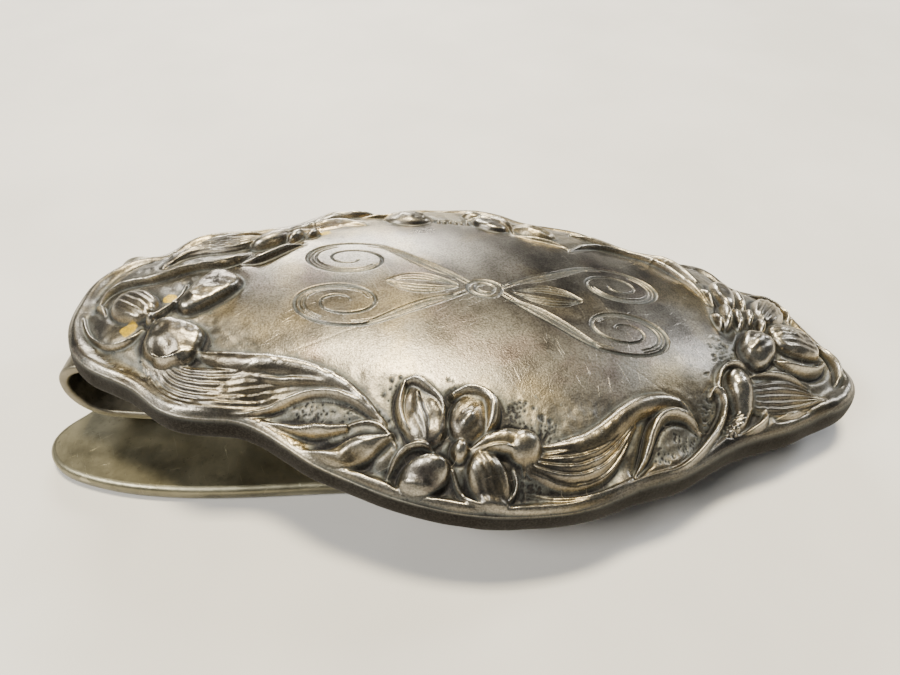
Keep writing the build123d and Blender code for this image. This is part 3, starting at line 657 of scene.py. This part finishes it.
def front_shell():
    """Relief on top, rolled rim, thin lower edge and the plain hollow inside."""
    points = [np.stack([X.ravel(), Y.ravel(), relief.ravel()], -1)]
    corners = (number[:-1, :-1], number[:-1, 1:], number[1:, 1:], number[1:, :-1])
    faces = [np.stack(corners, -1).reshape(-1, 4)]
    # painted black shade from the crest's very edge, where the wall turns down
    outside = 0.35 * smooth(0.12, 0.0, RIM_GAP)
    marks = [np.stack([part.ravel() for part in (patina_and_shade, wear_and_sheen, gild, 1 - border, outside)], -1)]
    edge = boundary()
    ex, ey, ez = X.ravel()[edge], Y.ravel()[edge], relief.ravel()[edge]
    tx, ty = np.roll(ex, -4) - np.roll(ex, 4), np.roll(ey, -4) - np.roll(ey, 4)
    size = np.hypot(tx, ty)
    nx, ny = ty / size, -tx / size
    # The rim's outside down to the thin edge, then a short way up inside: outward, height, painted shade
    # (darker towards the bottom, in place of the shade and dark reflection under the rim).
    wall = [
        (0.10, -0.02, 0.15), (0.20, -0.08, 0.35), (0.30, -0.18, 0.6), (0.38, -0.32, 0.8), (0.45, -0.5, 0.9),
        (0.50, -0.75, 0.92), (0.53, -1.0, 0.94), (0.55, -1.3, 0.94), (0.56, -1.6, 0.9), (0.54, -1.85, 0.8),
        (0.46, -1.98, 0.6), (0.30, -2.02, 0.6), (0.12, -2.0, 0.7), (0.0, -1.92, 0.8), (-0.06, -1.7, 0.9),
        (-0.08, -1.35, 0.9), (-0.05, -1.0, 0.9),
    ]
    bulge = 0.35 + 0.2 * smooth(-8, -14, ex) + 0.65 * smooth(8, 14, ex) * smooth(0, -4, ey)
    count = len(edge)
    rings = [edge]

    def add_ring(x, y, z, painted_shade, worn, painted_black_shade):
        points.append(np.stack(np.broadcast_arrays(x, y, z), -1))
        marks.append(np.stack(np.broadcast_arrays(painted_shade + 0 * x, worn, 0, 0, painted_black_shade), -1))
        fresh = COUNT_ON_TOP + (len(rings) - 1) * count + np.arange(count)
        faces.append(np.stack([np.roll(rings[-1], -1), rings[-1], fresh, np.roll(fresh, -1)], -1))
        rings.append(fresh)

    ripple = 0.035 * noise(ex, ey, 1.6, 81)
    for step, (outward, level, painted_shade) in enumerate(wall):
        out = outward * bulge + ripple * math.sin(math.pi * step / len(wall))
        height = level + ez * max(0, 1 + level / 0.6)
        # painted black shade: the painted shade plus noise, near black low on the wall
        painted_black_shade = np.clip(painted_shade + 0.12 * noise(ex, ey, 2.2, 82), 0, 0.96)
        add_ring(ex + nx * out, ey + ny * out, height, painted_shade, 0.4 * (step < 3), painted_black_shade)
    for share in (0.965, 0.9, 0.8, 0.66, 0.5, 0.32, 0.14, 0.03):
        below_dome = DOME_RISE * (1 - share**2) ** DOME_POWER - SHEET - 1.0 + 0.6 * (1 - share)
        add_ring(ex * share, ey * share, max(-1.0, below_dome), *INSIDE_MARKS)
    points.append(np.array([[0.0, 0.0, points[-1][0, 2]]]))
    marks.append(np.array([[INSIDE_MARKS[0], INSIDE_MARKS[1], 0, 0, INSIDE_MARKS[2]]]))
    centre = COUNT_ON_TOP + (len(rings) - 1) * count
    cap = np.stack([np.roll(rings[-1], -1), rings[-1], np.full(count, centre)], -1)
    points, marks, quads = np.concatenate(points), np.concatenate(marks), np.concatenate(faces)

    mesh = bpy.data.meshes.new("front_shell_relief")
    corners = np.concatenate([quads.ravel(), cap.ravel()])
    sizes = np.concatenate([np.full(len(quads), 4), np.full(len(cap), 3)])
    mesh.vertices.add(len(points))
    mesh.loops.add(len(corners))
    mesh.polygons.add(len(sizes))
    mesh.vertices.foreach_set("co", to_row(*points.T).astype(np.float32).ravel())
    mesh.loops.foreach_set("vertex_index", corners.astype(np.int32))
    mesh.polygons.foreach_set("loop_start", (np.cumsum(sizes) - sizes).astype(np.int32))
    mesh.polygons.foreach_set("use_smooth", np.ones(len(sizes), bool))
    mesh.update(calc_edges=True)
    for i, name in enumerate(("patina_and_shade", "wear_and_sheen", "gild", "plain", "painted_black_shade")):
        mark = mesh.attributes.new(name, "FLOAT", "POINT")
        mark.data.foreach_set("value", marks[:, i].astype(np.float32))
    mesh.validate()
    shell = bpy.data.objects.new("front_shell_relief", mesh)
    bpy.context.scene.collection.objects.link(shell)
    return shell


# ---- materials ----
class Nodes:
    """A short way to wire a node tree."""

    def __init__(self, name):
        self.material = bpy.data.materials.new(name)
        self.material.use_nodes = True
        self.tree = self.material.node_tree
        self.shader = self.tree.nodes["Principled BSDF"]
        self.place = self.add("ShaderNodeTexCoord").outputs["Object"]

    def add(self, kind, **settings):
        node = self.tree.nodes.new(kind)
        for key, value in settings.items():
            setattr(node, key, value)
        return node

    def plug(self, socket, value):
        if hasattr(value, "is_output"):
            self.tree.links.new(value, socket)
        else:
            socket.default_value = value

    def mark(self, name):
        return self.add("ShaderNodeAttribute", attribute_name=name).outputs["Fac"]

    def noise(self, scale, detail=4.0, rough=0.55, stretch=None, turn=0.0):
        node = self.add("ShaderNodeTexNoise")
        where = self.place
        if stretch:
            move = self.add("ShaderNodeMapping", vector_type="TEXTURE")
            self.plug(move.inputs["Vector"], where)
            move.inputs["Scale"].default_value = [1 / part for part in stretch]
            move.inputs["Rotation"].default_value = (0, 0, turn)
            where = move.outputs["Vector"]
        self.plug(node.inputs["Vector"], where)
        self.plug(node.inputs["Scale"], scale)
        self.plug(node.inputs["Detail"], detail)
        self.plug(node.inputs["Roughness"], rough)
        return node.outputs["Fac"]

    def range(self, value, low, high, to_low=0.0, to_high=1.0):
        node = self.add("ShaderNodeMapRange", clamp=True)
        self.plug(node.inputs["Value"], value)
        for socket, number in zip(list(node.inputs)[1:5], (low, high, to_low, to_high)):
            self.plug(socket, number)
        return node.outputs["Result"]

    def math(self, kind, a, b=0.0):
        node = self.add("ShaderNodeMath", operation=kind, use_clamp=kind != "MULTIPLY")
        self.plug(node.inputs[0], a)
        self.plug(node.inputs[1], b)
        return node.outputs["Value"]

    def mix(self, share, a, b):
        node = self.add("ShaderNodeMix", data_type="RGBA")
        self.plug(node.inputs["Factor"], share)
        self.plug(node.inputs["A"], (*a, 1) if isinstance(a, tuple) else a)
        self.plug(node.inputs["B"], (*b, 1) if isinstance(b, tuple) else b)
        return node.outputs["Result"]

    def blend(self, share, a, b):
        node = self.add("ShaderNodeMix", data_type="FLOAT")
        self.plug(node.inputs["Factor"], share)
        self.plug(node.inputs["A"], a)
        self.plug(node.inputs["B"], b)
        return node.outputs["Result"]

    def bump(self, height, distance, strength=1.0, under=None):
        node = self.add("ShaderNodeBump")
        self.plug(node.inputs["Height"], height)
        self.plug(node.inputs["Distance"], distance)
        self.plug(node.inputs["Strength"], strength)
        if under is not None:
            self.plug(node.inputs["Normal"], under)
        return node.outputs["Normal"]

    def finish(self, colour, metal, rough, normal):
        self.plug(self.shader.inputs["Base Color"], colour)
        self.plug(self.shader.inputs["Metallic"], metal)
        self.plug(self.shader.inputs["Roughness"], rough)
        self.plug(self.shader.inputs["Normal"], normal)
        return self.material


def scratches(n):
    """Fine straight scratches in three directions."""
    total = 0.0
    for turn, along, thresh in ((0.5, 300, 0.69), (-0.9, 260, 0.70), (1.9, 340, 0.71), (0.1, 280, 0.71)):
        streak = n.noise(1.0, 2.0, 0.5, (9000, along, along), turn)
        total = n.math("MAXIMUM", total, n.range(streak, thresh, thresh + 0.06))
    return total


def struck_silver():
    """Aged silver: worn pale on the high spots, with a painted highlight along the rim's crest; grey-blue
    and near black patina in the sunk ground; painted black shade on the rim's lower wall and inside.
    """
    n = Nodes("struck_silver")
    patina_and_shade_mark, wear_and_sheen_mark, plain = n.mark("patina_and_shade"), n.mark("wear_and_sheen"), n.mark("plain")
    clouds = n.noise(260, 5)
    tone = n.mix(n.range(clouds, 0.38, 0.62), (0.135, 0.122, 0.105), (0.225, 0.209, 0.178))
    straw = n.range(n.noise(110, 3), 0.46, 0.66, 0, 0.6)
    tone = n.mix(straw, tone, (0.42, 0.33, 0.17))
    rosy = n.range(n.noise(150, 3, stretch=(1.0, 1.3, 1.0), turn=0.8), 0.55, 0.7, 0, 0.5)
    tone = n.mix(n.math("MULTIPLY", rosy, n.blend(plain, 0.5, 1.0)), tone, (0.20, 0.15, 0.135))
    # pale where worn, and along the rim's crest a painted highlight
    tone = n.mix(n.range(wear_and_sheen_mark, 0.1, 0.9, 0, 0.75), tone, (0.60, 0.55, 0.45))
    speckle = n.range(n.noise(2600, 2), 0.60, 0.70)
    grime_and_shade = n.math("ADD", patina_and_shade_mark, n.math("MULTIPLY", n.range(n.noise(700, 4), 0.45, 0.7), 0.12))
    grime_and_shade = n.math("ADD", grime_and_shade, n.math("MULTIPLY", speckle, 0.25))
    dull = n.mix(n.range(n.noise(500, 3), 0.35, 0.65), (0.052, 0.064, 0.069), (0.118, 0.126, 0.120))
    # grey-blue patina in the hollows, near black in the deepest; the same mark carries the painted shade of
    # the rim's wall and inside
    tone = n.mix(n.range(grime_and_shade, 0.1, 0.6, 0, 0.88), tone, dull)
    tone = n.mix(n.range(grime_and_shade, 0.66, 0.98), tone, (0.008, 0.008, 0.009))
    tone = n.mix(n.mark("gild"), tone, (0.56, 0.37, 0.012))
    marks = scratches(n)
    tone = n.mix(n.math("MULTIPLY", marks, 0.22), tone, (0.62, 0.57, 0.48))
    # painted black shade: the rim's lower wall and the inside turned near black
    painted_black_shade = n.mark("painted_black_shade")
    tone = n.mix(painted_black_shade, tone, (0.009, 0.007, 0.005))
    rough = n.blend(n.range(grime_and_shade, 0.1, 0.8), n.range(clouds, 0.3, 0.7, 0.27, 0.38), 0.62)
    rough = n.blend(n.range(wear_and_sheen_mark, 0.2, 1.0, 0, 0.8), rough, 0.26)
    metal = n.range(grime_and_shade, 0.3, 1.0, 1.0, 0.55)
    fleck = n.range(n.noise(6200, 2), 0.44, 0.60, 0, n.blend(plain, 0.4, 0.52))
    tone = n.mix(fleck, tone, (0.045, 0.040, 0.034))
    grain = n.bump(n.noise(6800, 2), 0.000018, n.blend(plain, 1.0, 0.8))
    dents = n.bump(n.noise(420, 2), 0.000035, 0.5, grain)
    metal = n.math("MULTIPLY", metal, n.range(n.mark("gild"), 0, 1, 1, 0.35))
    # the painted black shade also takes away metal, gloss and most reflection
    metal = n.math("MULTIPLY", metal, n.range(painted_black_shade, 0, 1, 1, 0.25))
    rough = n.blend(painted_black_shade, rough, 0.7)
    n.plug(n.shader.inputs["Specular IOR Level"], n.range(painted_black_shade, 0, 1, 0.5, 0.06))
    return n.finish(tone, metal, rough, n.bump(marks, 0.000012, 0.4, dents))


def old_metal(name, tones, rough_low, rough_high, cloud_scale, dark=0.5, edge=0.8):
    """Plain tarnished sheet: two cloudy tones, dark spots, fine scratches and a painted highlight on sharp
    edges.
    """
    n = Nodes(name)
    clouds = n.noise(cloud_scale, 6, 0.6)
    tone = n.mix(n.range(clouds, 0.36, 0.64), tones[0], tones[1])
    stain = n.range(n.noise(cloud_scale * 2.7, 5, 0.65), 0.52, 0.72, 0, dark)
    tone = n.mix(stain, tone, tuple(0.35 * part for part in tones[0]))
    spots = n.range(n.noise(2400, 2), 0.66, 0.74, 0, 0.7)
    tone = n.mix(spots, tone, (0.06, 0.055, 0.045))
    marks = scratches(n)
    tone = n.mix(n.math("MULTIPLY", marks, 0.3), tone, tuple(min(1, 1.5 * part) for part in tones[1]))
    # painted highlight: sharp edges painted brighter, by as much as edge
    edges = n.add("ShaderNodeNewGeometry").outputs["Pointiness"]
    painted_edge_highlight = tuple(min(1, 2.2 * part) for part in tones[1])
    tone = n.mix(n.range(edges, 0.505, 0.56, 0, edge), tone, painted_edge_highlight)
    rough = n.range(clouds, 0.3, 0.7, rough_low, rough_high)
    grain = n.bump(n.noise(3000, 3), 0.000010, 0.7)
    return n.finish(tone, 1.0, rough, n.bump(marks, 0.000012, 0.6, grain))


MATERIALS = {
    "struck_silver": struck_silver(),
    "plain_silver": old_metal("plain_silver", ((0.22, 0.195, 0.165), (0.34, 0.31, 0.265)), 0.36, 0.52,
                              300, edge=0.0),
    "strip_metal": old_metal("strip_metal", ((0.095, 0.085, 0.062), (0.20, 0.182, 0.14)), 0.34, 0.5, 420),
    "rivet_metal": old_metal("rivet_metal", ((0.28, 0.26, 0.22), (0.42, 0.39, 0.33)), 0.3, 0.44, 700),
    "spring_steel": old_metal("spring_steel", ((0.20, 0.20, 0.21), (0.30, 0.30, 0.31)), 0.3, 0.45, 500),
    "tongue_metal": old_metal("tongue_metal", ((0.10, 0.093, 0.064), (0.215, 0.20, 0.14)), 0.34, 0.5,
                              170, dark=0.8),
}


def dress(piece, name):
    """Gives a piece its one material, in all of its slots."""
    piece.data.materials.clear()
    piece.data.materials.append(MATERIALS[name])
    for slot in piece.material_slots:
        slot.material = MATERIALS[name]


shell = front_shell()
dress(shell, "struck_silver")
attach(shell, "shell")
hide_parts("front_shell")


# ---- the strap loop as one smooth bent strip ----
def loop_path():
    """Middle line of the strip in the shell's x-z plane, with its normals: straight runs and bends."""
    # length of a straight run, or degrees and radius of a bend
    bends = ((9.6, 0, 0), (0, 90, 2.4), (0.35, 0, 0), (0, 93, 3.25), (4.2, 0, 0), (0, 50, 1.0),
             (3.05, 0, 0), (0, -53, 1.0), (6.0, 0, 0))
    x, z, heading = LOOP_START, EDGE_LEVEL - LOOP_HALF_THICK, math.pi
    points = [(x, z, heading)]
    for length, turn, radius in bends:
        count = 12 if turn else 3
        step = length / count if length else math.radians(abs(turn)) * radius / count
        for _ in range(count):
            heading += math.radians(turn) / count / 2
            x, z = x + step * math.cos(heading), z + step * math.sin(heading)
            heading += math.radians(turn) / count / 2
            points.append((x, z, heading))
    return np.array(points)


def bent_loop():
    """The strip swept along its path, with rounded edges; the lower run is lifted to meet the plate."""
    path = loop_path()
    lift = EDGE_LEVEL - LOOP_HALF_THICK - path[-1, 1]
    path[:, 1] += lift * smooth(0.55, 0.9, np.linspace(0, 1, len(path)))
    turn = np.linspace(0, 2 * math.pi, 32, endpoint=False)
    cy, cz = np.cos(turn), np.sin(turn)
    section_y = np.sign(cy) * (LOOP_HALF_WIDTH - LOOP_ROUND_EDGE) + LOOP_ROUND_EDGE * cy
    section_z = np.sign(cz) * (LOOP_HALF_THICK - LOOP_ROUND_EDGE) + LOOP_ROUND_EDGE * cz
    normal_x, normal_z = -np.sin(path[:, 2]), np.cos(path[:, 2])
    x = path[:, 0, None] + normal_x[:, None] * section_z
    z = path[:, 1, None] + normal_z[:, None] * section_z
    y = np.broadcast_to(section_y, x.shape)
    rows, around_count = x.shape
    index = np.arange(rows * around_count).reshape(x.shape)
    faces = []
    for i in range(rows - 1):
        for j in range(around_count):
            k = (j + 1) % around_count
            faces.append((index[i, j], index[i, k], index[i + 1, k], index[i + 1, j]))
    faces += [tuple(index[0, ::-1]), tuple(index[-1])]
    faces = [tuple(map(int, face)) for face in faces]
    mesh = bpy.data.meshes.new("strap_loop_band")
    mesh.from_pydata(to_row(x.ravel(), y.ravel(), z.ravel()).tolist(), [], faces)
    mesh.polygons.foreach_set("use_smooth", [len(face) == 4 for face in faces])
    mesh.validate()
    band = bpy.data.objects.new("strap_loop_band", mesh)
    bpy.context.scene.collection.objects.link(band)
    return band


band = bent_loop()
dress(band, "strip_metal")
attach(band, "shell")
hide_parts("belt_loop")

BEVELS = {"tongue_plate": 0.35, "hinge_pin": 0.06, "loop_rivets": 0.06, "bracket_rivets": 0.06,
          "spring_rivet": 0.06}  # mm; 0.12 elsewhere
SLOTS = {part["node"]: part["material_slot"] for part in frame["record"]["subparts"]}
for node, piece in frame["nodes"].items():
    if node in ("front_shell", "belt_loop"):
        continue
    dress(piece, SLOTS[node])
    if node == "back_plate":  # flat, with its edge inside the rim: nothing to soften
        piece.data.polygons.foreach_set("use_smooth", np.zeros(len(piece.data.polygons), bool))
        continue
    weld = piece.modifiers.new("joined faces", "WELD")
    weld.merge_threshold = 1e-6
    bevel = piece.modifiers.new("soft edges", "BEVEL")
    bevel.width = BEVELS.get(node, 0.12) * MM
    bevel.segments = 3
    bevel.limit_method = "ANGLE"
    bevel.angle_limit = math.radians(40)
    bevel.harden_normals = True


# ---- floor, light and camera ----
CAMERA_PLACE = (-0.00063, -0.04279, 0.05230)  # matched to the photo's view of the rim
CAMERA_LIFT, CAMERA_TURN = 43.7, 2.47         # degrees up from straight down, and to the left
LENS = 27.04
WORLD_TINT, WORLD_STRENGTH = (0.74, 0.83, 0.95, 1), 0.13
LIGHTS = (  # name, place, size, watts, tint
    ("overhead", (-0.005, 0.045, 0.34), (0.08, 0.05), 2.5, (1.0, 0.87, 0.60)),
    ("front", (-0.18, -0.12, 0.22), (0.12, 0.06), 1.0, (1.0, 0.97, 0.90)),
    ("behind", (-0.10, 0.36, 0.16), (0.22, 0.06), 2.2, (1.0, 0.97, 0.90)),
    ("side", (0.28, 0.16, 0.20), (0.06, 0.10), 0.7, (0.93, 0.96, 1.0)),
)


def pale_floor():
    bpy.ops.mesh.primitive_plane_add(size=3, location=(0, 0, CAD_LOW.z - 0.00002))
    floor = bpy.context.object
    floor.name = "floor"
    n = Nodes("floor_card")
    tone = n.mix(n.range(n.noise(40, 3), 0.35, 0.65), (0.60, 0.59, 0.575), (0.66, 0.65, 0.635))
    floor.data.materials.append(n.finish(tone, 0.0, 0.75, n.bump(n.noise(900, 3), 0.00006, 0.3)))


def soft_light(name, place, size, watts, tint):
    data = bpy.data.lights.new(name, "AREA")
    data.shape = "RECTANGLE"
    data.size, data.size_y = size
    data.energy = watts
    data.color = tint
    lamp = bpy.data.objects.new(name, data)
    bpy.context.scene.collection.objects.link(lamp)
    lamp.location = place
    lamp.rotation_euler = (-lamp.location).to_track_quat("-Z", "Y").to_euler()


def sky():
    world = bpy.data.worlds.new("studio")
    bpy.context.scene.world = world
    world.use_nodes = True
    background = world.node_tree.nodes["Background"]
    background.inputs["Color"].default_value = WORLD_TINT
    background.inputs["Strength"].default_value = WORLD_STRENGTH


def camera():
    data = bpy.data.cameras.new("camera")
    data.sensor_width = 36
    data.lens = LENS
    data.clip_start, data.clip_end = 0.002, 10
    view = bpy.data.objects.new("camera", data)
    bpy.context.scene.collection.objects.link(view)
    view.location = CAMERA_PLACE
    view.rotation_euler = Euler((math.radians(CAMERA_LIFT), 0, math.radians(CAMERA_TURN)))
    bpy.context.scene.camera = view


pale_floor()
for light in LIGHTS:
    soft_light(*light)
sky()
camera()
